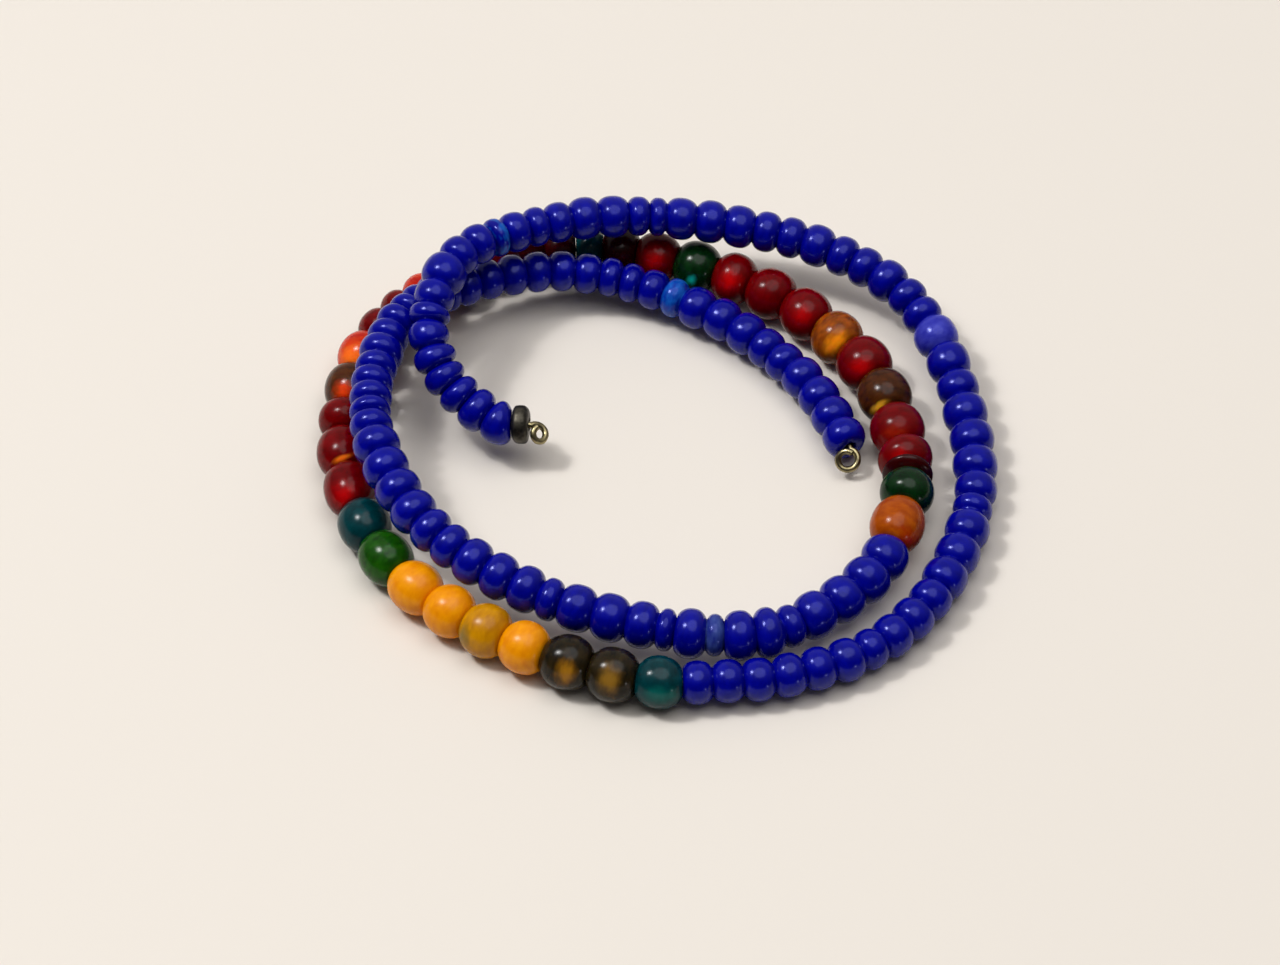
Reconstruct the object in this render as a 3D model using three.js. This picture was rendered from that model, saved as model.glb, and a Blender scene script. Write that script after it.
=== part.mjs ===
// An open bracelet: glass beads on one springy wire, which coils about two and a half times and lies
// on a flat surface. Millimetres, +Z up. The origin is under the middle of the coil, on the surface.
import * as THREE from 'three';

// Driving dimensions
const WIRE_RADIUS = 0.33;
const WIRE_SIDES = 6;
const WIRE_STEP = 2.6;
const BORE_RADIUS = 0.75;
const BEAD_SIDES = 10;
const BEAD_GAP = 0.3;
const LOOP_TILT = 40;
const LOOP_LEAN = -38;
const LOOP_STEP = 30;
const LOOP_DRAW_IN = 0.4;

// The centre line of the wire, chosen by hand: it starts at the outer face of the first bead, on the
// right, goes round to the left three times and ends in the middle of the coil.
const ROUTE = [
  // x, y, height
  [21, 2.5, 2.4], [17.6, 10, 2.5], [10.5, 18, 2.7], [0, 24, 3.3], [-8, 25, 4.4], [-16, 22.6, 5.4],
  [-22.3, 18.3, 6.6], [-25.5, 12.4, 7.2], [-26.6, 0, 8], [-21, -12, 7], [-11, -18.7, 5],
  [0, -22.3, 4], [7, -23.4, 3.7], [13, -22.8, 3.6], [19.5, -18.9, 3.6], [23.7, -14.2, 3.9],
  [25.5, -9, 4], [26.5, -4.4, 3.7], [26.4, 1, 3], [22.9, 12.9, 2.9], [13.5, 23.2, 2.7],
  [0, 29.1, 2.7], [-8, 29.7, 2.7], [-15.8, 27.9, 2.7], [-22.1, 22.7, 2.7], [-27.3, 15.9, 2.7],
  [-29.5, 0, 2.7], [-24, -14, 2.7], [-13.5, -23, 2.8], [0, -28.35, 2.8], [7.5, -28.35, 2.5],
  [15.5, -27.15, 2.35], [23, -23.6, 2.3], [29, -16.8, 2.3], [33.3, -4, 2.3], [32.6, 7, 2.8],
  [29.5, 17, 4.2], [25, 22.9, 5.2], [16, 27.5, 6.4], [0, 29, 8.3], [-11, 26.1, 9.6],
  [-18, 21.3, 10.7], [-20.6, 15.8, 10.4], [-21.1, 11.6, 9.1], [-19.6, 8, 7.1],
  [-16.3, 5.2, 5.1], [-14, 3.95, 4.5], [-10.9, 3.6, 4.6],
];

// The sizes of the blue beads, from wide to thin, with a capital letter for the thicker ones: a bead's
// diameter and its width along the wire.
const BLUE_SIZES = {
  a: { diameter: 4.6, width: 3.4 },
  b: { diameter: 4.4, width: 3.0 },
  c: { diameter: 4.2, width: 2.6 },
  d: { diameter: 4.1, width: 2.2 },
  e: { diameter: 4.0, width: 1.8 },
  A: { diameter: 4.9, width: 3.4 },
  B: { diameter: 4.8, width: 3.0 },
  C: { diameter: 4.6, width: 2.6 },
  D: { diameter: 4.4, width: 2.2 },
  E: { diameter: 4.3, width: 1.8 },
  F: { diameter: 5.1, width: 3.0 },
  G: { diameter: 5.1, width: 2.6 },
};

// The blue beads in the order in which they are strung, a letter of the size chart for each.
const INNER_RUN = 'bbbbccbbbdcddccccccEEEEDDCDDDEDBBBBCCBBBDAABEFEFGDAAAA';
const OUTER_RUN = 'bbbbbbcbbbaaadbaaabaaccbccbccbbbedbbcdceccacEcDDDCC';

// The coloured beads between the two blue runs, in the order in which they are strung.
const COLOURED_RUN = [
  // glass, diameter, width along the wire
  ['orange', 5.6, 5.3], ['dark_green', 5.5, 4.1], ['maroon', 5.2, 1.4], ['ruby', 5.7, 3.6],
  ['ruby', 5.6, 4.7], ['tortoise', 5.6, 4.8], ['ruby', 5.8, 4.8], ['amber', 5.6, 4.3],
  ['ruby', 5.4, 4.7], ['ruby', 5.4, 4.5], ['ruby', 5.4, 4.0], ['dark_green', 5.4, 4.3],
  ['ruby', 5.2, 4.2], ['maroon', 5.0, 3.6], ['teal', 4.8, 2.8], ['maroon', 4.8, 3.3],
  ['maroon', 5.0, 4.1], ['ruby', 5.2, 4.0], ['tortoise', 5.2, 4.2], ['orange_red', 5.2, 3.5],
  ['ruby', 5.2, 3.0], ['ruby', 5.2, 3.4], ['orange_red', 5.4, 4.5], ['tortoise', 5.6, 4.8],
  ['ruby', 5.4, 3.7], ['ruby', 5.4, 4.9], ['ruby', 5.4, 5.2], ['teal', 5.4, 4.8],
  ['green', 5.4, 5.0], ['yellow', 5.4, 4.8], ['yellow', 5.4, 4.4], ['mustard', 5.6, 4.4],
  ['yellow', 5.4, 4.4], ['dark_brown', 5.6, 4.8], ['dark_brown', 5.6, 4.7], ['teal', 5.4, 4.4],
];
const SPACER = { diameter: 4.0, width: 1.8 };

// colour, roughness, metalness
const FINISHES = {
  steel: [0x9a968c, 0.3, 1],
  spacer: [0x3a3835, 0.45, 0.3],
  blue: [0x10109a, 0.2, 0],
  orange: [0xd86000, 0.2, 0],
  orange_red: [0xd03a08, 0.2, 0],
  yellow: [0xf59a00, 0.25, 0],
  mustard: [0xd9950a, 0.25, 0],
  green: [0x1e5a0e, 0.2, 0],
  dark_green: [0x0c3318, 0.2, 0],
  teal: [0x00484e, 0.2, 0],
  ruby: [0x8a0008, 0.15, 0],
  maroon: [0x3c0408, 0.15, 0],
  amber: [0xa04a08, 0.15, 0],
  tortoise: [0x5a3010, 0.15, 0],
  dark_brown: [0x2a2415, 0.2, 0],
};

const UP = new THREE.Vector3(0, 0, 1);
const ROUTE_DIVISIONS = 4000;
const route = new THREE.CatmullRomCurve3(
  ROUTE.map(([x, y, height]) => new THREE.Vector3(x, y, height)), false, 'centripetal');
route.arcLengthDivisions = ROUTE_DIVISIONS;
const routeLength = route.getLength();

// The wire's place and directions at a distance along it. Past either end it runs on straight.
function frameAt(distance) {
  const held = THREE.MathUtils.clamp(distance, 0, routeLength);
  const tangent = route.getTangentAt(held / routeLength);
  const side = tangent.clone().cross(UP).normalize();
  return {
    point: route.getPointAt(held / routeLength).addScaledVector(tangent, distance - held),
    tangent,
    side,
    lift: side.clone().cross(tangent),
  };
}

// Bends a lathe's straight axis along the wire, so that its height becomes the distance along it.
function bendAlongWire(geometry) {
  const position = geometry.attributes.position;
  const bent = new THREE.Vector3();
  for (let i = 0; i < position.count; i++) {
    const { point, side, lift } = frameAt(position.getY(i));
    bent.copy(point).addScaledVector(side, position.getX(i)).addScaledVector(lift, position.getZ(i));
    position.setXYZ(i, bent.x, bent.y, bent.z);
  }
  return geometry;
}

// Radii are drawn midway between the circle's inner and outer polygon, with a flat side underneath.
const POLYGON_SCALE = (1 + 1 / Math.cos(Math.PI / BEAD_SIDES)) / 2;

function drilledSolid(outline, bore) {
  const closed = [...outline, ...bore, outline[0]];
  const profile = closed.map(([radius, distance]) =>
    new THREE.Vector2(radius * POLYGON_SCALE, distance));
  return bendAlongWire(new THREE.LatheGeometry(profile, BEAD_SIDES, Math.PI / BEAD_SIDES));
}

// A rounded bead's outline: its end faces, and a shoulder on each side of its widest part.
const SHOULDER = 0.5;
const FACE_RADIUS = 0.66;

function beadOutline(start, { diameter, width }) {
  const middle = start + width / 2;
  const shoulder = SHOULDER * width / 2;
  const radius = diameter / 2;
  return [
    [radius * FACE_RADIUS, start],
    [radius, middle - shoulder],
    [radius, middle + shoulder],
    [radius * FACE_RADIUS, start + width],
  ];
}

// A single drilled bead, which keeps half a gap from its neighbour on either side.
function singleBead(start, { diameter, width }) {
  const first = start + BEAD_GAP / 2;
  const last = start + width - BEAD_GAP / 2;
  const outline = beadOutline(first, { diameter, width: last - first });
  return drilledSolid(outline, [[BORE_RADIUS, last], [BORE_RADIUS, first]]);
}

// A run of touching beads as one body: the beads meet in a groove, and share one bore that follows
// the wire with a ring of corners at every second bead.
const BEADS_PER_BORE_RING = 2;

function beadRun(start, letters) {
  const outline = [];
  const bore = [];
  let distance = start;
  letters.forEach((letter, index) => {
    const [face, ...rest] = beadOutline(distance, BLUE_SIZES[letter]);
    const farFace = rest.pop();
    if (index === 0) face[1] += BEAD_GAP / 2;
    outline.push(face, ...rest);
    if (index % BEADS_PER_BORE_RING === 0) bore.push([BORE_RADIUS, face[1]]);
    if (index === letters.length - 1) {
      farFace[1] -= BEAD_GAP / 2;
      outline.push(farFace);
      bore.push([BORE_RADIUS, farFace[1]]);
    }
    distance += BLUE_SIZES[letter].width;
  });
  return drilledSolid(outline, bore.reverse());
}

const runWidth = (letters) => letters.reduce((sum, letter) => sum + BLUE_SIZES[letter].width, 0);

// The turned loops. Each is a spiral in a plane that is tilted, and leans to one side of the wire: its
// angle is 90 where the wire arrives and grows towards the left, the first share of the turn draws the
// wire in from the start radius to the loop's own, and rise lifts the wire out of the plane. Reach is
// from the last bead to the middle.
const END_A_LOOP = { reach: 1.3, from: 90, to: 480, startRadius: 1.2, radius: 0.9, rise: 0.95 };
const END_B_LOOP = { reach: 1.3, from: 90, to: 460, startRadius: 1.2, radius: 0.75, rise: 0.8 };

function loopPoints(distance, outwardSign, loop) {
  const { point, tangent } = frameAt(distance);
  const lean = THREE.MathUtils.degToRad(LOOP_LEAN);
  const outward = tangent.clone().multiplyScalar(outwardSign).applyAxisAngle(UP, lean);
  const left = outward.clone().cross(UP).normalize().multiplyScalar(-1);
  const tilt = THREE.MathUtils.degToRad(LOOP_TILT);
  const back = outward.clone().multiplyScalar(-Math.cos(tilt)).addScaledVector(UP, Math.sin(tilt));
  const normal = left.clone().cross(back).normalize();
  const centre = point.clone().addScaledVector(back, -loop.reach);
  const count = Math.round((loop.to - loop.from) / LOOP_STEP);
  const points = [];
  for (let i = 0; i <= count; i++) {
    const turned = i / count;
    const angle = THREE.MathUtils.degToRad(loop.from + turned * (loop.to - loop.from));
    const drawnIn = Math.min(1, turned / LOOP_DRAW_IN);
    const radius = loop.startRadius + drawnIn * (loop.radius - loop.startRadius);
    points.push(centre.clone()
      .addScaledVector(left, -radius * Math.cos(angle))
      .addScaledVector(back, radius * Math.sin(angle))
      .addScaledVector(normal, loop.rise * turned));
  }
  return points;
}

// A curve that is stepped through point by point, so that the loops keep their fine steps.
class SteppedCurve extends THREE.CatmullRomCurve3 {
  getPointAt(t, target) { return this.getPoint(t, target); }

  getTangentAt(t, target) { return this.getTangent(t, target); }
}

function memoryWire(lastBeadEnd) {
  const count = Math.round(lastBeadEnd / WIRE_STEP);
  const middle = [];
  for (let i = 0; i <= count; i++) middle.push(frameAt(lastBeadEnd * i / count).point);
  const points = [
    ...loopPoints(0, -1, END_A_LOOP).reverse(),
    ...middle,
    ...loopPoints(lastBeadEnd, 1, END_B_LOOP),
  ];
  const path = new SteppedCurve(points, false, 'centripetal');
  const section = new THREE.Shape();
  for (let i = 0; i < WIRE_SIDES; i++) {
    const angle = 2 * Math.PI * i / WIRE_SIDES;
    const corner = [WIRE_RADIUS * Math.cos(angle), WIRE_RADIUS * Math.sin(angle)];
    if (i === 0) section.moveTo(...corner);
    else section.lineTo(...corner);
  }
  return new THREE.ExtrudeGeometry(section, { steps: points.length - 1, extrudePath: path });
}

function piece(name, geometry, finish) {
  const [color, roughness, metalness] = FINISHES[finish];
  const mesh = new THREE.Mesh(geometry, new THREE.MeshStandardMaterial({ color, roughness, metalness }));
  mesh.name = name;
  return mesh;
}

const bracelet = new THREE.Group();

const inner = [...INNER_RUN];
const outer = [...OUTER_RUN];
let strung = 0;
bracelet.add(piece('blue_beads_inner', beadRun(strung, inner), 'blue'));
strung += runWidth(inner);

COLOURED_RUN.forEach(([glass, diameter, width], index) => {
  const number = String(index + 1).padStart(2, '0');
  bracelet.add(piece(`bead_${number}_${glass}`, singleBead(strung, { diameter, width }), glass));
  strung += width;
});

bracelet.add(piece('blue_beads_outer', beadRun(strung, outer), 'blue'));
strung += runWidth(outer);

bracelet.add(piece('end_spacer', singleBead(strung, SPACER), 'spacer'));
strung += SPACER.width;

bracelet.add(piece('memory_wire', memoryWire(strung), 'steel'));

// The lowest bead touches the surface, and the origin is under the middle of the whole coil.
const box = new THREE.Box3().setFromObject(bracelet);
const middle = box.getCenter(new THREE.Vector3());
bracelet.position.set(-middle.x, -middle.y, -box.min.z);

export default bracelet;
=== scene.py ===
# %% [markdown]
# # A coiled bracelet of glass beads
#
# The bracelet is about half a metre of springy steel wire with a little over a hundred and forty
# glass beads on it, and a turned loop at each end that keeps them on. It has no clasp: the wire
# remembers its coil, and here it lies loose on a pale surface.
#
# The solids that come with the part have flat sides, as a machinist's blank has. This script puts a
# smooth, glossy bead in the place of each of them and leaves every size as it was.

# %% Load the solids
import bisect
import math
import random

import bmesh
import bpy
from mathutils import Matrix, Vector
from mathutils.geometry import interpolate_bezier


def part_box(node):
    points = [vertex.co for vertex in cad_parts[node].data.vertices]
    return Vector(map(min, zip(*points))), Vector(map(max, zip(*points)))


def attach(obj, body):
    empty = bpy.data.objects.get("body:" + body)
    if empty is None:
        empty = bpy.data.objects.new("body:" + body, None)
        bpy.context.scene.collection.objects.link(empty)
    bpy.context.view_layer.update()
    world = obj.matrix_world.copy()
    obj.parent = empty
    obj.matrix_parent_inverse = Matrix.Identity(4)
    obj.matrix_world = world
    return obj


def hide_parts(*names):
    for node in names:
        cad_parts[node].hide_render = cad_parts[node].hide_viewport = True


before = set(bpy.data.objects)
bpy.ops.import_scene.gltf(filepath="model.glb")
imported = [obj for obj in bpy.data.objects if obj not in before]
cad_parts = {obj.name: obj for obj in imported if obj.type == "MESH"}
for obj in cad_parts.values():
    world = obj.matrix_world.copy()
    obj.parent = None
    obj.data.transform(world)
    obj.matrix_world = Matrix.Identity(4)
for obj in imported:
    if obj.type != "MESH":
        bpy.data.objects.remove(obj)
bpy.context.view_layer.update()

# %% [markdown]
# ## The wire's centre line
#
# Everything is threaded on the wire, so its centre line comes first. It could be a curve object, but
# the beads need to ask it for a place and a direction at any distance, which is easier with a list of
# close points. The rows are in millimetres, the same as in the part's source. Each stretch between two
# rows is a Bezier whose handles make the whole a centripetal Catmull-Rom curve: that kind passes
# through every row and doesn't loop where rows are close together.

# %% The wire's centre line
MM = 0.001
UP = Vector((0, 0, 1))

ROUTE = [
    # x, y, height
    (21, 2.5, 2.4), (17.6, 10, 2.5), (10.5, 18, 2.7), (0, 24, 3.3), (-8, 25, 4.4),
    (-16, 22.6, 5.4), (-22.3, 18.3, 6.6), (-25.5, 12.4, 7.2), (-26.6, 0, 8), (-21, -12, 7),
    (-11, -18.7, 5), (0, -22.3, 4), (7, -23.4, 3.7), (13, -22.8, 3.6), (19.5, -18.9, 3.6),
    (23.7, -14.2, 3.9), (25.5, -9, 4), (26.5, -4.4, 3.7), (26.4, 1, 3), (22.9, 12.9, 2.9),
    (13.5, 23.2, 2.7), (0, 29.1, 2.7), (-8, 29.7, 2.7), (-15.8, 27.9, 2.7), (-22.1, 22.7, 2.7),
    (-27.3, 15.9, 2.7), (-29.5, 0, 2.7), (-24, -14, 2.7), (-13.5, -23, 2.8), (0, -28.35, 2.8),
    (7.5, -28.35, 2.5), (15.5, -27.15, 2.35), (23, -23.6, 2.3), (29, -16.8, 2.3),
    (33.3, -4, 2.3), (32.6, 7, 2.8), (29.5, 17, 4.2), (25, 22.9, 5.2), (16, 27.5, 6.4),
    (0, 29, 8.3), (-11, 26.1, 9.6), (-18, 21.3, 10.7), (-20.6, 15.8, 10.4), (-21.1, 11.6, 9.1),
    (-19.6, 8, 7.1), (-16.3, 5.2, 5.1), (-14, 3.95, 4.5), (-10.9, 3.6, 4.6),
]
POINTS_PER_STRETCH = 40


def stretch_points(before, start, end, after):
    """Close points from start to end, on the curve that also passes through before and after."""
    gaps = [math.sqrt((b - a).length) for a, b in ((before, start), (start, end), (end, after))]
    leave = ((start - before) / gaps[0] - (end - before) / (gaps[0] + gaps[1])
             + (end - start) / gaps[1]) * gaps[1]
    arrive = ((end - start) / gaps[1] - (after - start) / (gaps[1] + gaps[2])
              + (after - end) / gaps[2]) * gaps[1]
    return interpolate_bezier(start, start + leave / 3, end - arrive / 3, end, POINTS_PER_STRETCH)


rows = [Vector(row) for row in ROUTE]
rows = [2 * rows[0] - rows[1]] + rows + [2 * rows[-1] - rows[-2]]
centre_line = [rows[1]]
for four_rows in zip(rows, rows[1:], rows[2:], rows[3:]):
    centre_line += stretch_points(*four_rows)[1:]

distances = [0.0]
for start, end in zip(centre_line, centre_line[1:]):
    distances.append(distances[-1] + (end - start).length)

line_ends = [centre_line[0]] + centre_line + [centre_line[-1]]
headings = [(after - before).normalized() for before, after in zip(line_ends, line_ends[2:])]
print("centre line:", round(distances[-1], 1), "mm")

# %% [markdown]
# ## Bending along the wire
#
# A bead is easiest to turn on a straight axis, like a lathe job, and to bend afterwards. So each mesh
# is made along Z, with Z as the distance along the wire, and every vertex is then carried to the place
# of its distance. X goes sideways and Y goes up, as far as the wire's slope lets it.

# %% Bending along the wire


def frame_at(distance):
    """The wire's point, heading, side and lift at a distance. It runs on straight past its ends."""
    held = min(max(distance, 0), distances[-1])
    index = min(bisect.bisect_right(distances, held), len(distances) - 1) - 1
    share = (held - distances[index]) / (distances[index + 1] - distances[index])
    heading = headings[index].lerp(headings[index + 1], share).normalized()
    point = centre_line[index].lerp(centre_line[index + 1], share) + heading * (distance - held)
    side = heading.cross(UP).normalized()
    return point, heading, side, side.cross(heading)


def bend_along_wire(bm):
    """Carries a straight mesh to the wire, and keeps each vertex's straight place as an attribute."""
    straight_place = bm.verts.layers.float_vector.new("straight_place")
    for vert in bm.verts:
        vert[straight_place] = vert.co
        point, _, side, lift = frame_at(vert.co.z)
        vert.co = point + side * vert.co.x + lift * vert.co.y


print("the wire's two ends:", [tuple(round(v, 1) for v in frame_at(d)[0]) for d in (0, distances[-1])])

# %% [markdown]
# ## What is strung on the wire
#
# The chart is the stringing order, as a beader writes it down: a letter for each blue bead and a row
# for each coloured one. The blue beads are small and flat, and no two are quite the same width. The
# coloured ones are larger and rounder. Adding up the widths gives every bead its place on the wire.

# %% What is strung on the wire
BLUE_SIZES = {
    # letter: diameter, width along the wire
    "a": (4.6, 3.4), "b": (4.4, 3.0), "c": (4.2, 2.6), "d": (4.1, 2.2), "e": (4.0, 1.8),
    "A": (4.9, 3.4), "B": (4.8, 3.0), "C": (4.6, 2.6), "D": (4.4, 2.2), "E": (4.3, 1.8),
    "F": (5.1, 3.0), "G": (5.1, 2.6),
}
INNER_RUN = "bbbbccbbbdcddccccccEEEEDDCDDDEDBBBBCCBBBDAABEFEFGDAAAA"
OUTER_RUN = "bbbbbbcbbbaaadbaaabaaccbccbccbbbedbbcdceccacEcDDDCC"
COLOURED_RUN = [
    # glass, diameter, width along the wire
    ("orange", 5.6, 5.3), ("dark_green", 5.5, 4.1), ("maroon", 5.2, 1.4), ("ruby", 5.7, 3.6),
    ("ruby", 5.6, 4.7), ("tortoise", 5.6, 4.8), ("ruby", 5.8, 4.8), ("amber", 5.6, 4.3),
    ("ruby", 5.4, 4.7), ("ruby", 5.4, 4.5), ("ruby", 5.4, 4.0), ("dark_green", 5.4, 4.3),
    ("ruby", 5.2, 4.2), ("maroon", 5.0, 3.6), ("teal", 4.8, 2.8), ("maroon", 4.8, 3.3),
    ("maroon", 5.0, 4.1), ("ruby", 5.2, 4.0), ("tortoise", 5.2, 4.2), ("orange_red", 5.2, 3.5),
    ("ruby", 5.2, 3.0), ("ruby", 5.2, 3.4), ("orange_red", 5.4, 4.5), ("tortoise", 5.6, 4.8),
    ("ruby", 5.4, 3.7), ("ruby", 5.4, 4.9), ("ruby", 5.4, 5.2), ("teal", 5.4, 4.8),
    ("green", 5.4, 5.0), ("yellow", 5.4, 4.8), ("yellow", 5.4, 4.4), ("mustard", 5.6, 4.4),
    ("yellow", 5.4, 4.4), ("dark_brown", 5.6, 4.8), ("dark_brown", 5.6, 4.7), ("teal", 5.4, 4.4),
]
SPACER = (4.0, 1.8)

inner_sizes = [BLUE_SIZES[letter] for letter in INNER_RUN]
outer_sizes = [BLUE_SIZES[letter] for letter in OUTER_RUN]

inner_end = sum(width for _, width in inner_sizes)
coloured_starts = [inner_end]
for _, _, width in COLOURED_RUN:
    coloured_starts.append(coloured_starts[-1] + width)
outer_start = coloured_starts.pop()
spacer_start = outer_start + sum(width for _, width in outer_sizes)
strung_end = spacer_start + SPACER[1]
print("blue beads:", len(INNER_RUN), "+", len(OUTER_RUN), "coloured:", len(COLOURED_RUN),
      "strung length:", round(strung_end, 1), "mm")

# %% [markdown]
# ## From the route to the part
#
# The part's origin is under the middle of its box, and the route has an origin of its own. The solids
# say how far apart the two are: the middle of a bead's box lies on the wire, so the mean difference
# over all the coloured beads is the shift. One matrix then scales to metres and shifts.

# %% From the route to the part
coloured_nodes = [
    f"bead_{number:02d}_{glass}" for number, (glass, _, _) in enumerate(COLOURED_RUN, start=1)
]
shift = Vector()
for node, start, (_, _, width) in zip(coloured_nodes, coloured_starts, COLOURED_RUN):
    low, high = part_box(node)
    middle_point = frame_at(start + width / 2)[0]
    shift += ((low + high) / 2 - middle_point * MM) / len(coloured_nodes)

route_to_part = Matrix.Translation(shift) @ Matrix.Scale(MM, 4)
print("route's origin in the part, mm:", [round(v / MM, 3) for v in shift])

# %% [markdown]
# ## One finished object from each mesh
#
# Every piece is finished the same way: scaled and shifted into the part, its faces turned outwards,
# smooth shading with a crease only where two beads meet, and its material. A sharp edge angle does the
# creases, which is simpler than marking edges by hand.

# %% One finished object from each mesh
CREASE_ANGLE = math.radians(50)
MERGE_DISTANCE = 0.001


def finish_piece(name, bm, materials, node):
    """A new object from a mesh in route millimetres. It takes the place of a solid of the part."""
    bmesh.ops.remove_doubles(bm, verts=bm.verts, dist=MERGE_DISTANCE)
    bmesh.ops.recalc_face_normals(bm, faces=bm.faces)
    bmesh.ops.transform(bm, matrix=route_to_part, verts=bm.verts)
    mesh = bpy.data.meshes.new(name)
    bm.to_mesh(mesh)
    bm.free()
    mesh.shade_smooth()
    mesh.set_sharp_from_angle(angle=CREASE_ANGLE)
    for material in materials:
        mesh.materials.append(material)
    piece = bpy.data.objects.new(name, mesh)
    bpy.context.scene.collection.objects.link(piece)
    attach(piece, "root")
    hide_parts(node)
    return piece


print("a crease shows from", round(math.degrees(CREASE_ANGLE)), "degrees on")

# %% [markdown]
# ## Colours and nodes
#
# Colours are written as hex, as a paint chart gives them, and the renderer wants linear light, so one
# function turns them. Another adds a node with its settings and links, so that each material below
# reads as a short list.

# %% Colours and nodes


def linear(hex_colour):
    """An sRGB hex colour as linear red, green, blue and alpha."""
    channels = [int(hex_colour[i:i + 2], 16) / 255 for i in (1, 3, 5)]
    return [c / 12.92 if c <= 0.04045 else ((c + 0.055) / 1.055) ** 2.4 for c in channels] + [1.0]


def add_node(tree, kind, settings=None, links=None):
    """Adds a shader node. Settings are its properties or its sockets' values, links its inputs."""
    node = tree.nodes.new("ShaderNode" + kind)
    for name, value in (settings or {}).items():
        if isinstance(name, str) and hasattr(node, name):
            setattr(node, name, value)
        else:
            node.inputs[name].default_value = value
    for name, output in (links or {}).items():
        tree.links.new(output, node.inputs[name])
    return node


def new_material(name):
    """An empty material with its output node, and its node tree."""
    material = bpy.data.materials.new(name)
    material.use_nodes = True
    material.node_tree.nodes.clear()
    return material, material.node_tree


print("mid grey in linear light:", round(linear("#808080")[0], 3))

# %% [markdown]
# ## Patterns in glass
#
# No glass rod is even. Drawing it out leaves streaks in its colour, and winding or pressing it leaves
# the surface a little uneven. Both are slow changes, a millimetre or two across, so one stretched noise
# makes either. It reads the bead's own straight place, and so the streaks run round every bead in the
# same way, wherever the bead is on the wire.

# %% Patterns in glass
STREAK_WIDTH = 1.4
RIPPLE_WIDTH = 1.6


def streak_pattern(tree, width, stretch, detail):
    """A noise over the bead's own straight place, drawn out round the bead. Width is in mm."""
    place = add_node(tree, "Attribute", {"attribute_name": "straight_place"})
    drawn = add_node(tree, "Mapping", {"Scale": (1 / width, 1 / width, stretch / width)},
                     {"Vector": place.outputs["Vector"]})
    return add_node(tree, "TexNoise", {"Scale": 1.0, "Detail": detail, "Roughness": 0.55},
                    {"Vector": drawn.outputs["Vector"]}).outputs["Fac"]


def colour_band(tree, factor, stops):
    """A colour ramp from a list of (position, hex colour)."""
    ramp = add_node(tree, "ValToRGB", links={"Fac": factor})
    elements = ramp.color_ramp.elements
    while len(elements) < len(stops):
        elements.new(0.5)
    for element, (position, colour) in zip(elements, stops):
        element.position = position
        element.color = linear(colour)
    return ramp.outputs["Color"]


print("streaks:", STREAK_WIDTH, "mm wide, ripples:", RIPPLE_WIDTH, "mm")

# %% [markdown]
# ## Light gathered in a bead
#
# A clear bead gathers light like a lens, and the light comes out as a bright patch on its far side. On
# some beads that patch is plain to see. Tracing it would take a clear glass shader and many samples, so
# it is painted into the colour as a patch of painted light. Two vertex attributes say where the patch
# lies and which colour it has, and the streaks fray its edge.

# %% Light gathered in a bead
FLASH_FULL_WITHIN = 0.5
FLASH_GONE_BEYOND = 1.6


def flash_over(tree, base, streaks):
    """The base colour with the painted flash of light over it. The attribute flash is 0 in the middle of
    the patch.
    """
    flash = add_node(tree, "Attribute", {"attribute_name": "flash"})
    distance = add_node(tree, "VectorMath", {"operation": "LENGTH"}, {0: flash.outputs["Vector"]})
    ragged = add_node(tree, "Math", {"operation": "ADD"}, {0: distance.outputs["Value"], 1: streaks})
    share = add_node(tree, "MapRange",
                     {"From Min": FLASH_GONE_BEYOND, "From Max": FLASH_FULL_WITHIN,
                      "interpolation_type": "SMOOTHSTEP"},
                     {"Value": ragged.outputs["Value"]})
    colour = add_node(tree, "Attribute", {"attribute_name": "flash_colour"})
    return add_node(tree, "MixRGB", links={"Fac": share.outputs["Result"], "Color1": base,
                                           "Color2": colour.outputs["Color"]}).outputs["Color"]


print("a flash fades between", FLASH_FULL_WITHIN, "and", FLASH_GONE_BEYOND, "half-widths, streaks added")

# %% [markdown]
# ## Glass
#
# Beads like these are wound or pressed from soda-lime glass, which bends light with an index of 1.52,
# and polished in the fire. Opaque glass keeps its colour at the surface, under the polish. Deep coloured
# glass lets light in, which wanders inside and glows back out. A full glass shader would do that too,
# but it turns such dark glass black at a low sample count, so the glow comes from subsurface
# scattering. A very low bump keeps the highlights from looking printed on.

# %% Glass
GLASS_IOR = 1.52
RIPPLE_HEIGHT = 0.05
RIPPLE_STRENGTH = 0.25


def glass(name, stops, roughness=0.19, polish=0.19, gleam="#ffffff", glow=0.0, glow_colour="#ffffff",
          glow_depth=0.6, flashes=True):
    """Bead glass with streaks in the given colours.

    Polish is how much it reflects and gleam the tint of that. Glow is how much light wanders inside,
    glow_colour which light gets furthest and glow_depth how far, in mm. Flashes says whether it has
    patches of gathered light.
    """
    material, tree = new_material(name)
    streaks = streak_pattern(tree, STREAK_WIDTH, stretch=2.0, detail=2.0)
    ripple = streak_pattern(tree, RIPPLE_WIDTH, stretch=1.0, detail=1.0)
    bump = add_node(tree, "Bump", {"Strength": RIPPLE_STRENGTH, "Distance": RIPPLE_HEIGHT * MM},
                    {"Height": ripple})
    colour = colour_band(tree, streaks, stops)
    if flashes:
        colour = flash_over(tree, colour, streaks)
    shader = add_node(
        tree, "BsdfPrincipled",
        {
            "Roughness": roughness,
            "IOR": GLASS_IOR,
            "Specular IOR Level": polish,
            "Specular Tint": linear(gleam),
            "Subsurface Weight": glow,
            "Subsurface Radius": linear(glow_colour)[:3],
            "Subsurface Scale": glow_depth * MM,
        },
        {"Base Color": colour, "Normal": bump.outputs["Normal"]},
    )
    add_node(tree, "OutputMaterial", links={"Surface": shader.outputs["BSDF"]})
    return material


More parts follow.
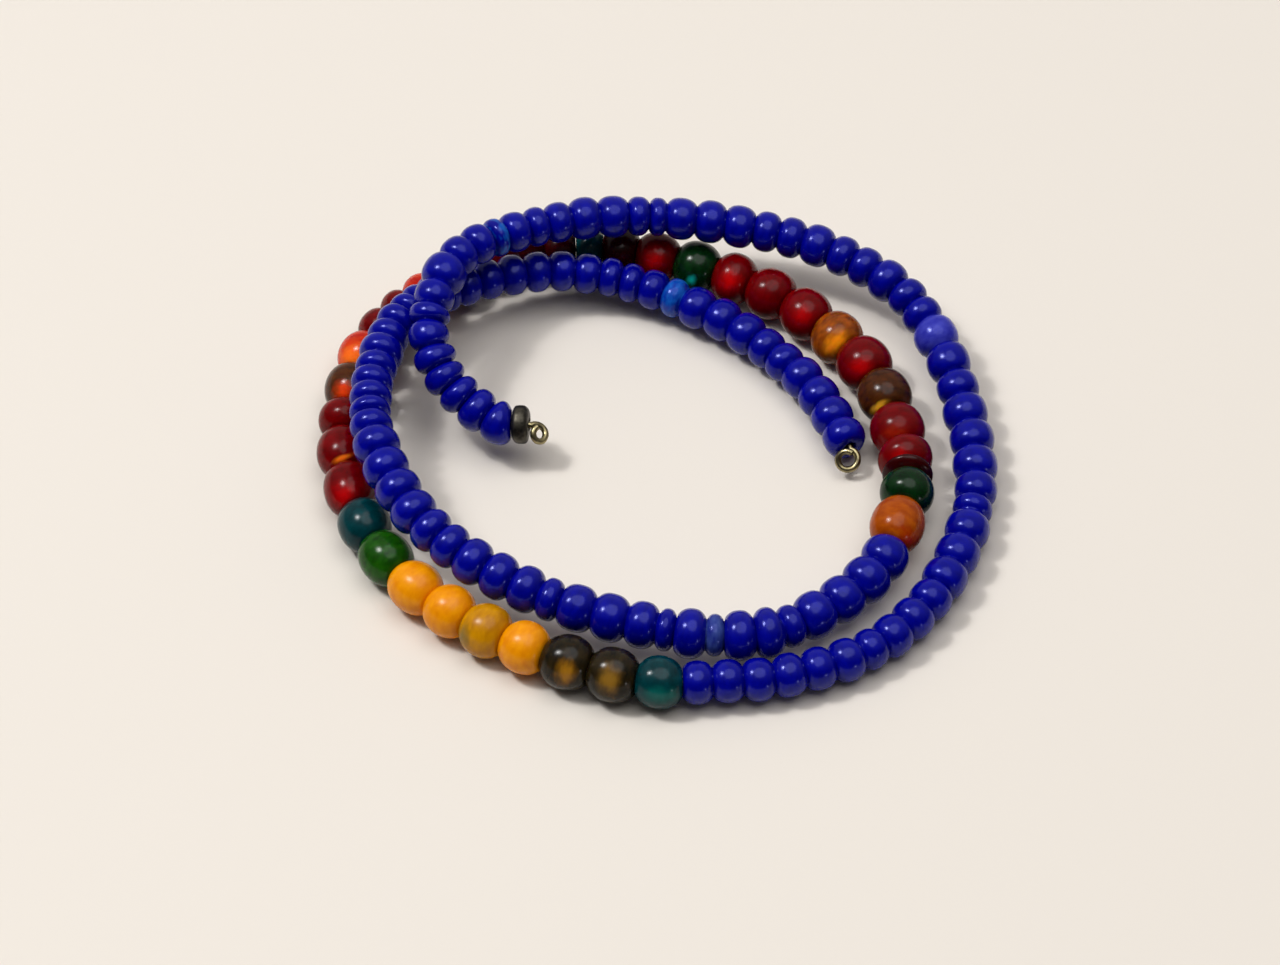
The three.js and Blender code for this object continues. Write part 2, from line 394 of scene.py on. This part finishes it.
print("glass bends light with an index of", GLASS_IOR)

# %% [markdown]
# ## The blue glasses
#
# Seed beads are cut from a drawn tube of opaque glass and tumbled in the fire until their edges are
# round. The ultramarine is so strong that even the highlights look blue, which a tint of the
# reflection gives. The four odd beads are of paler or streakier blues.

# %% The blue glasses


def blue_bead_glass(name, stops):
    """Opaque glass, where nothing shines through. Its highlights take on some of its own blue."""
    return glass(name, stops, polish=0.42, gleam="#acb4ff", flashes=False)


blue_glass = blue_bead_glass("opaque_ultramarine_glass", [(0.35, "#000176"), (0.65, "#010488")])
azure_glass = blue_bead_glass("opaque_azure_glass", [(0.35, "#02248c"), (0.65, "#1056b0")])
streaky_blue_glass = blue_bead_glass("streaky_ultramarine_glass", [(0.45, "#00037a"), (0.62, "#0450a8")])
grey_blue_glass = blue_bead_glass("opaque_grey_blue_glass", [(0.3, "#141e74"), (0.7, "#36498a")])
lavender_glass = blue_bead_glass("opaque_lavender_glass", [(0.3, "#1e2092"), (0.7, "#383ca8")])
BLUE_GLASSES = [blue_glass, azure_glass, streaky_blue_glass, grey_blue_glass, lavender_glass]
print("blue glasses:", len(BLUE_GLASSES))

# %% [markdown]
# ## The coloured glasses
#
# These beads are wound one by one from molten rods. The orange and the yellows are opaque or cloudy
# and look like sweets, a little duller than the blue. The greens, the teal and the rubies are deep:
# dark at the edge and glowing where light comes through, so they have a dark colour, less polish and
# a glow. Amber, tortoiseshell and smoky brown mix two rods, which shows as streaks of light and dark.

# %% The coloured glasses
COLOURED_GLASS = {
    "orange": glass("opaque_orange_glass", [(0.3, "#863200"), (0.7, "#a24a00")], polish=0.16),
    "orange_red": glass("cloudy_orange_red_glass", [(0.35, "#a00c00"), (0.65, "#c02c00")],
                        glow=0.5, glow_colour="#ff5020"),
    "yellow": glass("cloudy_yellow_glass", [(0.3, "#d67c00"), (0.7, "#e49200")], roughness=0.26),
    "mustard": glass("cloudy_mustard_glass", [(0.3, "#a86c00"), (0.7, "#c08400")], roughness=0.26),
    "green": glass("deep_green_glass", [(0.3, "#0a3802"), (0.7, "#1c5406")], polish=0.18,
                   glow=0.4, glow_colour="#30ff30"),
    "dark_green": glass("bottle_green_glass", [(0.3, "#021a06"), (0.7, "#062c0e")], polish=0.18,
                        glow=0.4, glow_colour="#30ff60"),
    "teal": glass("deep_teal_glass", [(0.3, "#00262c"), (0.7, "#00383e")], polish=0.18,
                  glow=0.4, glow_colour="#20ffff"),
    "ruby": glass("ruby_glass", [(0.3, "#560002"), (0.7, "#6c0004")], polish=0.14,
                  glow=0.5, glow_colour="#ff2020", glow_depth=0.8),
    "maroon": glass("maroon_glass", [(0.3, "#200002"), (0.7, "#340204")], polish=0.16,
                    glow=0.5, glow_colour="#ff2020"),
    "amber": glass("amber_glass", [(0.3, "#582404"), (0.7, "#984a06")], polish=0.18,
                   glow=0.6, glow_colour="#ff8020", glow_depth=1.0),
    "tortoise": glass("tortoiseshell_glass", [(0.3, "#2c1204"), (0.7, "#502608")], polish=0.18,
                      glow=0.5, glow_colour="#ff8020"),
    "dark_brown": glass("smoky_brown_glass", [(0.35, "#120e06"), (0.7, "#2a200e")], polish=0.18,
                        glow=0.4, glow_colour="#ffa040"),
}
print("coloured glasses:", len(COLOURED_GLASS))

# %% [markdown]
# ## Metal
#
# Spring wire is drawn through a die and not polished, so it is bright but soft in its reflections, and
# handling has left darker patches. The spacer is an old plated bead that has gone nearly black, with
# the metal showing through. Both are a metal shader with a noise in colour and roughness.

# %% Metal


def worn_metal(name, dark, bright, smooth, rough, patch_width):
    """Metal with darker, duller patches of a given width in mm."""
    material, tree = new_material(name)
    place = add_node(tree, "TexCoord").outputs["Object"]
    patches = add_node(tree, "TexNoise", {"Scale": 1 / (patch_width * MM), "Detail": 3.0},
                       {"Vector": place}).outputs["Fac"]
    dullness = add_node(tree, "MapRange", {"To Min": rough, "To Max": smooth}, {"Value": patches})
    shader = add_node(
        tree, "BsdfPrincipled", {"Metallic": 1.0},
        {"Base Color": colour_band(tree, patches, [(0.35, dark), (0.65, bright)]),
         "Roughness": dullness.outputs["Result"]},
    )
    add_node(tree, "OutputMaterial", links={"Surface": shader.outputs["BSDF"]})
    return material


spring_steel = worn_metal("drawn_spring_steel", "#6a6148", "#aca078", 0.22, 0.4, patch_width=1.2)
dark_plating = worn_metal("darkened_plated_brass", "#2a2824", "#5a564c", 0.35, 0.55, patch_width=1.0)
print("metals:", spring_steel.name, dark_plating.name)

# %% [markdown]
# ## Turning a bead
#
# A bead is a rounded ring. A torus would be too thin at the hole and a sphere too pointed, so the
# outside is half of a superellipse: squareness 2 gives an ellipse, and more gives fuller shoulders. It
# starts and ends at the face where the bead touches its neighbour. The round share makes a bead a
# little slimmer than its size in the chart, which leaves room for the unevenness that comes later.

# %% Turning a bead
OUTLINE_STEPS = 14
ROUND_SHARE = 0.985


def bead_outline(start, diameter, width, squareness, face_share):
    """Points (radius, distance) over the outside of a bead, from one end face to the other."""
    last_turn = math.acos(face_share ** (squareness / 2))
    reach = math.sin(last_turn) ** (2 / squareness)
    points = []
    for step in range(OUTLINE_STEPS + 1):
        turn = last_turn * (2 * step / OUTLINE_STEPS - 1)
        along = math.copysign(abs(math.sin(turn)) ** (2 / squareness), turn) / reach
        radius = ROUND_SHARE * diameter / 2 * math.cos(turn) ** (2 / squareness)
        points.append((radius, start + width / 2 * (1 + along)))
    return points


print("points along a bead's outline:", OUTLINE_STEPS + 1)

# %% [markdown]
# ## No two beads alike
#
# Glass beads are never all the same, and they sit a little askew on the wire. Each bead of a mesh is
# made a little larger or smaller, and pushed and tipped, most in its middle and not at all at its end
# faces, so that the grooves between beads stay closed. Moving the vertices is simpler than making
# every bead anew. The bore stays where it is.

# %% No two beads alike
BORE_RADIUS = 0.7
SIZE_SPREAD = 0.012
PUSH_SPREAD = 0.05
TIP_SPREAD = math.tan(math.radians(2.5))


def make_uneven(bm, sizes, ends, dice):
    """Changes the size, place and tilt of each bead in a straight mesh a little."""
    wobbles = [
        (1 + dice.uniform(-SIZE_SPREAD, SIZE_SPREAD),
         Vector((dice.uniform(-1, 1), dice.uniform(-1, 1), 0)) * PUSH_SPREAD,
         Vector((dice.uniform(-1, 1), dice.uniform(-1, 1), 0)) * TIP_SPREAD)
        for _ in sizes
    ]
    for vert in bm.verts:
        if vert.co.xy.length <= BORE_RADIUS * 1.01:
            continue
        index = min(bisect.bisect_right(ends, vert.co.z), len(ends) - 1)
        width = sizes[index][1]
        from_middle = 2 * (vert.co.z - (ends[index] - width / 2)) / width
        share = max(0, 1 - from_middle ** 2)
        size, push, tip = wobbles[index]
        across = Vector((vert.co.x, vert.co.y, 0))
        vert.co += across * (size - 1) * share + push * share + UP * across.dot(tip) * share


print("a bead is pushed by up to", PUSH_SPREAD, "mm and tipped by up to",
      round(math.degrees(math.atan(TIP_SPREAD)), 1), "degrees each way")

# %% [markdown]
# ## Beads in a row
#
# Beads strung tight share one mesh: their outlines are joined in a groove, and one long bore runs
# through them. The joined outline is a closed chain of edges, and one spin turns it into rings. The
# first and the last bead keep a small gap from what comes next on the wire.

# %% Beads in a row
BEAD_SEGMENTS = 40


def turned_run(start, sizes, squareness, face_share, gap, dice):
    """A mesh of beads from start on, on a straight axis, and the distance at which each one ends."""
    outline = []
    ends = []
    distance = start
    for index, (diameter, width) in enumerate(sizes):
        first_gap = gap if index == 0 else 0
        last_gap = gap if index == len(sizes) - 1 else 0
        points = bead_outline(distance + first_gap, diameter, width - first_gap - last_gap,
                              squareness, face_share)
        outline += points[1:] if outline else points
        distance += width
        ends.append(distance)

    bm = bmesh.new()
    bore_places = [outline[-1][1]] + ends[-2::-1] + [outline[0][1]]
    bore = [(BORE_RADIUS, along) for along in bore_places]
    corners = [bm.verts.new((radius, 0, along)) for radius, along in outline + bore]
    edges = [bm.edges.new(pair) for pair in zip(corners, corners[1:] + corners[:1])]
    bmesh.ops.spin(bm, geom=corners + edges, cent=(0, 0, 0), axis=(0, 0, 1), angle=math.tau,
                   steps=BEAD_SEGMENTS, use_merge=True)
    make_uneven(bm, sizes, ends, dice)
    return bm, ends


print("segments round a bead:", BEAD_SEGMENTS)

# %% [markdown]
# ## The blue beads
#
# Two runs of them are strung tight, one from each end of the wire. Four beads are of a paler glass, as
# in any handful of old stock, and they get their own material by the place of their faces.

# %% The blue beads
BLUE_SQUARENESS = 2.4
BLUE_FACE_SHARE = 0.65
END_GAP = 0.05
ODD_INNER_BEADS = {9: azure_glass, 46: grey_blue_glass}
ODD_OUTER_BEADS = {20: lavender_glass, 39: streaky_blue_glass}


def blue_run(node, start, sizes, odd_beads, seed):
    """One tight run of blue beads, bent along the wire."""
    bm, ends = turned_run(start, sizes, BLUE_SQUARENESS, BLUE_FACE_SHARE, END_GAP,
                          random.Random(seed))
    for face in bm.faces:
        index = min(bisect.bisect_right(ends, face.calc_center_median().z), len(ends) - 1)
        face.material_index = BLUE_GLASSES.index(odd_beads.get(index, blue_glass))
    bend_along_wire(bm)
    return finish_piece(node + "_glass", bm, BLUE_GLASSES, node)


inner_beads = blue_run("blue_beads_inner", 0, inner_sizes, ODD_INNER_BEADS, seed=11)
outer_beads = blue_run("blue_beads_outer", outer_start, outer_sizes, ODD_OUTER_BEADS, seed=12)
print("blue runs:", len(inner_beads.data.polygons), "+", len(outer_beads.data.polygons), "faces")

# %% [markdown]
# ## Where the gathered light shows
#
# The painted patches of gathered light are placed as the viewer sees them from 48 degrees up: so far
# to the right of the bead's middle and so far below it. Every vertex keeps its place from there as the
# attribute flash, in units of half the patch's own length and width, and a bead without a patch keeps
# a value far outside. The patch belongs to the bead, so it stays in its place from every side.

# %% Where the gathered light shows
VIEW_ELEVATION = math.radians(48)
TO_VIEWER = Vector((0, -math.cos(VIEW_ELEVATION), math.sin(VIEW_ELEVATION)))
VIEW_RIGHT = Vector((1, 0, 0))
VIEW_DOWN = VIEW_RIGHT.cross(TO_VIEWER)

# Most patches are painted light, a painted glow or glint brighter than the bead's glass. On beads 1 and 32
# the patch is darker than the glass around it.
FLASHES = {
    # bead: right, down, length, width in mm, slant up to the right in degrees, colour
    1: (1.2, 1.5, 4.2, 2.6, -40, "#a02000"),
    4: (-0.6, 0.0, 3.0, 3.0, 0, "#a80408"),
    5: (-0.2, 0.4, 3.6, 2.8, 30, "#8c1c08"),
    6: (-0.5, 1.1, 2.4, 1.1, 35, "#ffc030"),
    7: (-0.4, 0.5, 3.4, 3.0, 0, "#b00408"),
    8: (-0.2, 0.7, 4.2, 2.6, 50, "#ff9812"),
    9: (-0.5, 0.2, 3.2, 3.0, 0, "#a80408"),
    11: (-0.5, 0.4, 3.2, 3.2, 0, "#b80408"),
    12: (-0.6, 1.5, 1.2, 1.4, 0, "#10b0a0"),
    13: (-0.5, 0.2, 3.0, 3.0, 0, "#a80408"),
    23: (-1.1, 0.3, 4.2, 4.6, 0, "#ff7820"),
    24: (-0.8, 0.2, 2.6, 2.8, 0, "#e04010"),
    26: (-0.1, 0.6, 2.6, 0.8, 25, "#ff7c18"),
    27: (-0.5, 0.4, 3.2, 3.2, 0, "#b00408"),
    32: (-2.4, 0.6, 2.6, 4.4, 0, "#7c6018"),
    34: (-0.15, 1.05, 3.4, 2.6, 80, "#a06c14"),
    35: (-0.45, 0.55, 4.2, 2.8, 85, "#84601e"),
    36: (0.0, 1.3, 4.6, 2.4, 0, "#08605a"),
}
NO_FLASH_PLACE = Vector((9, 9, 9))


def store_flash(bm, middle, radius, flash):
    """Gives every vertex its place from the middle of the patch, and the colour of the patch."""
    place_layer = bm.verts.layers.float_vector.new("flash")
    colour_layer = bm.verts.layers.float_color.new("flash_colour")
    for vert in bm.verts:
        vert[place_layer] = NO_FLASH_PLACE
    if not flash:
        return
    right, down, length, width, slant, colour = flash
    height = math.sqrt(max(0, radius ** 2 - right ** 2 - down ** 2))
    centre = middle + VIEW_RIGHT * right + VIEW_DOWN * down + TO_VIEWER * height
    turn = math.radians(slant)
    long_way = VIEW_RIGHT * math.cos(turn) - VIEW_DOWN * math.sin(turn)
    short_way = long_way.cross(TO_VIEWER)
    for vert in bm.verts:
        away = vert.co - centre
        vert[place_layer] = (away.dot(long_way) * 2 / length, away.dot(short_way) * 2 / width,
                             away.dot(TO_VIEWER) / radius)
        vert[colour_layer] = linear(colour)


print("beads with a flash:", len(FLASHES))

# %% [markdown]
# ## The coloured beads
#
# These are the showpieces, each one an object of its own. They are rounder than the blue ones, so
# their squareness is nearer to 2 and their end faces are smaller.

# %% The coloured beads
COLOURED_SQUARENESS = 2.15
COLOURED_FACE_SHARE = 0.58
COLOURED_GAP = 0.03

dice = random.Random(21)
strung_beads = zip(coloured_nodes, coloured_starts, COLOURED_RUN)
for number, (node, start, (glass_name, diameter, width)) in enumerate(strung_beads, start=1):
    bm, _ = turned_run(start, [(diameter, width)], COLOURED_SQUARENESS, COLOURED_FACE_SHARE,
                       COLOURED_GAP, dice)
    bend_along_wire(bm)
    store_flash(bm, frame_at(start + width / 2)[0], diameter / 2, FLASHES.get(number))
    finish_piece(node + "_glass", bm, [COLOURED_GLASS[glass_name]], node)
print("coloured beads:", len(coloured_nodes))

# %% [markdown]
# ## The spacer
#
# The last thing on the inner end is a flat metal bead with a rounded edge. It is turned like the glass
# ones, with a much squarer outline.

# %% The spacer
SPACER_SQUARENESS = 3.2
SPACER_FACE_SHARE = 0.62

bm, _ = turned_run(spacer_start, [SPACER], SPACER_SQUARENESS, SPACER_FACE_SHARE, END_GAP,
                   random.Random(31))
bend_along_wire(bm)
spacer = finish_piece("end_spacer_metal", bm, [dark_plating], "end_spacer")
print("spacer:", [round(v / MM, 2) for v in spacer.dimensions], "mm")

# %% [markdown]
# ## The turned loops
#
# Each end of the wire is turned into a small loop with round-nosed pliers. A loop is a spiral in a
# plane that is tilted and leans to one side: it starts a little wide, draws in to its own radius and
# climbs by more than the wire's thickness, so that it passes beside itself. First and last are the
# angles at which the spiral starts and ends.

# %% The turned loops
LOOP_TILT = math.radians(40)
LOOP_LEAN = math.radians(-38)
LOOP_STEP = 10
LOOP_DRAW_IN = 0.4
END_A_LOOP = {"reach": 1.3, "first": 90, "last": 480, "start_radius": 1.2, "radius": 0.9, "rise": 0.95}
END_B_LOOP = {"reach": 1.3, "first": 90, "last": 460, "start_radius": 1.2, "radius": 0.75, "rise": 0.8}


def loop_points(distance, outward_sign, loop):
    """Points round a turned loop, from the wire's end outwards."""
    point, heading, _, _ = frame_at(distance)
    outward = Matrix.Rotation(LOOP_LEAN, 3, "Z") @ heading * outward_sign
    left = -outward.cross(UP).normalized()
    back = UP * math.sin(LOOP_TILT) - outward * math.cos(LOOP_TILT)
    normal = left.cross(back).normalized()
    centre = point - back * loop["reach"]
    count = round((loop["last"] - loop["first"]) / LOOP_STEP)
    points = []
    for step in range(count + 1):
        turned = step / count
        angle = math.radians(loop["first"] + turned * (loop["last"] - loop["first"]))
        drawn_in = min(1, turned / LOOP_DRAW_IN)
        radius = loop["start_radius"] + drawn_in * (loop["radius"] - loop["start_radius"])
        points.append(centre - left * radius * math.cos(angle) + back * radius * math.sin(angle)
                      + normal * loop["rise"] * turned)
    return points


print("loops:", 2 * END_A_LOOP["radius"], "and", 2 * END_B_LOOP["radius"], "mm across at the wire's middle")

# %% [markdown]
# ## The wire
#
# A curve with a bevel would draw the wire in one step. Here a circle is extruded from point to point
# instead, and each step turns the new ring by the change of heading, which keeps it from twisting. Its
# path is the centre line with a loop added at each end.

# %% The wire
WIRE_RADIUS = 0.33
WIRE_SIDES = 12
WIRE_STEP = 1.3


def swept_wire(path):
    """A round wire along a path of points, closed at both ends."""
    ends = [path[0]] + path + [path[-1]]
    wire_headings = [(after - before).normalized() for before, after in zip(ends, ends[2:])]
    bm = bmesh.new()
    first = bmesh.ops.create_circle(
        bm, cap_ends=True, radius=WIRE_RADIUS, segments=WIRE_SIDES,
        matrix=Matrix.Translation(path[0]) @ wire_headings[0].to_track_quat("Z", "Y").to_matrix().to_4x4(),
    )
    ring = first["verts"]
    edges = list({edge for vert in ring for edge in vert.link_edges})
    for index in range(1, len(path)):
        extruded = bmesh.ops.extrude_edge_only(bm, edges=edges)["geom"]
        ring = [item for item in extruded if isinstance(item, bmesh.types.BMVert)]
        edges = [item for item in extruded if isinstance(item, bmesh.types.BMEdge)]
        turn = wire_headings[index - 1].rotation_difference(wire_headings[index])
        step = (Matrix.Translation(path[index]) @ turn.to_matrix().to_4x4()
                @ Matrix.Translation(-path[index - 1]))
        bmesh.ops.transform(bm, matrix=step, verts=ring)
    bmesh.ops.contextual_create(bm, geom=edges)
    return bm


wire_steps = round(strung_end / WIRE_STEP)
strung_points = [frame_at(strung_end * step / wire_steps)[0] for step in range(wire_steps + 1)]
wire_path = (loop_points(0, -1, END_A_LOOP)[::-1] + strung_points
             + loop_points(strung_end, 1, END_B_LOOP))
wire = finish_piece("memory_wire_steel", swept_wire(wire_path), [spring_steel], "memory_wire")
print("wire:", len(wire.data.polygons), "faces")

# %% [markdown]
# ## The surface it lies on
#
# A plain pale surface, large enough that its edge never shows. It is not part of the bracelet.

# %% The surface it lies on
FLOOR_WIDTH = 4.0

floor_material, floor_tree = new_material("pale_paper")
paper = add_node(floor_tree, "BsdfPrincipled", {"Base Color": linear("#d8d1c8"), "Roughness": 0.9})
add_node(floor_tree, "OutputMaterial", links={"Surface": paper.outputs["BSDF"]})

bm = bmesh.new()
bmesh.ops.create_grid(bm, x_segments=1, y_segments=1, size=FLOOR_WIDTH / 2)
floor_mesh = bpy.data.meshes.new("floor")
bm.to_mesh(floor_mesh)
bm.free()
floor_mesh.materials.append(floor_material)
floor = bpy.data.objects.new("floor", floor_mesh)
bpy.context.scene.collection.objects.link(floor)
print("floor:", FLOOR_WIDTH, "m wide")

# %% [markdown]
# ## Light
#
# The highlights on the beads tell where the light was. On a ball, the normal at a highlight is halfway
# between the eye and the lamp, and it puts the key light high on the left. Its highlight has a hot
# middle, so a small lamp shines in front of its softbox. A second, softer one just right of it comes from
# nearly overhead, and a tiny one low on the right from a far lamp near the horizon. An area light is
# a softbox: the larger it looks from the beads, the softer the shadows.

# %% Light
KEY_DIRECTION = (-0.52, 0.05, 0.86)


def softbox(name, direction, distance, size, power):
    """An area light at a distance in metres, seen from the origin in a direction, facing it."""
    light = bpy.data.lights.new(name, "AREA")
    light.shape = "ELLIPSE"
    light.size, light.size_y = size
    light.energy = power
    lamp = bpy.data.objects.new(name, light)
    bpy.context.scene.collection.objects.link(lamp)
    towards = Vector(direction).normalized()
    lamp.matrix_world = (Matrix.Translation(towards * distance)
                         @ towards.to_track_quat("Z", "Y").to_matrix().to_4x4())


softbox("key_light", KEY_DIRECTION, 1.2, (0.36, 0.46), 6.0)
softbox("key_lamp", KEY_DIRECTION, 1.19, (0.11, 0.11), 3.4)
softbox("top_panel", (0.13, -0.05, 0.99), 1.2, (1.2, 1.1), 6.9)
softbox("far_lamp", (0.67, -0.74, 0.07), 2.0, (0.06, 0.06), 1.2)

# %% [markdown]
# ## The room
#
# The rest of the light comes from the room. Its ceiling and far wall are pale, and behind the viewer it
# is dark, which leaves the lower halves of the beads deep in colour. A gradient does that: the share
# of a direction that points to the bright side sets how strong the room is there.

# %% The room
ROOM_BRIGHT_SIDE = (0.0, 0.6, 0.8)
ROOM_FULL_FROM = 0.8
ROOM_DARKEST = 0.02
ROOM_BRIGHTEST = 0.55

world = bpy.data.worlds.new("room")
world.use_nodes = True
background = world.node_tree.nodes["Background"]
direction = add_node(world.node_tree, "TexCoord").outputs["Generated"]
brightness = add_node(world.node_tree, "VectorMath",
                      {"operation": "DOT_PRODUCT", 1: ROOM_BRIGHT_SIDE}, {0: direction})
strength = add_node(world.node_tree, "MapRange",
                    {"From Min": 0.0, "From Max": ROOM_FULL_FROM,
                     "To Min": ROOM_DARKEST, "To Max": ROOM_BRIGHTEST},
                    {"Value": brightness.outputs["Value"]})
background.inputs["Color"].default_value = linear("#f4f1ee")
world.node_tree.links.new(strength.outputs["Result"], background.inputs["Strength"])
bpy.context.scene.world = world
bpy.context.scene.view_settings.view_transform = "Standard"
print("room:", world.name, "from", ROOM_DARKEST, "to", ROOM_BRIGHTEST)

# %% [markdown]
# ## Camera
#
# The bracelet was photographed from a good way off with a long lens, so near and far beads come out
# almost the same size. The camera looks down at 48 degrees, straight along Y, at the route's origin.
# The horizon would lie 8600 pixels above the middle of the picture, and that gives the focal length.

# %% Camera
IMAGE_WIDTH = 1280
PIXELS_PER_MM = 10
SENSOR_WIDTH = 36
HORIZON_PIXELS = 8600
FOCAL_LENGTH_PIXELS = HORIZON_PIXELS / math.tan(VIEW_ELEVATION)

camera_data = bpy.data.cameras.new("camera")
camera_data.sensor_width = SENSOR_WIDTH
camera_data.lens = FOCAL_LENGTH_PIXELS / IMAGE_WIDTH * SENSOR_WIDTH
camera_data.clip_end = 10
camera = bpy.data.objects.new("camera", camera_data)
bpy.context.scene.collection.objects.link(camera)
camera_distance = FOCAL_LENGTH_PIXELS / PIXELS_PER_MM * MM
camera.location = shift + camera_distance * TO_VIEWER
camera.rotation_euler = (math.pi / 2 - VIEW_ELEVATION, 0, 0)
bpy.context.scene.camera = camera
print("camera:", round(camera_data.lens, 1), "mm lens at", round(camera_distance, 3), "m")
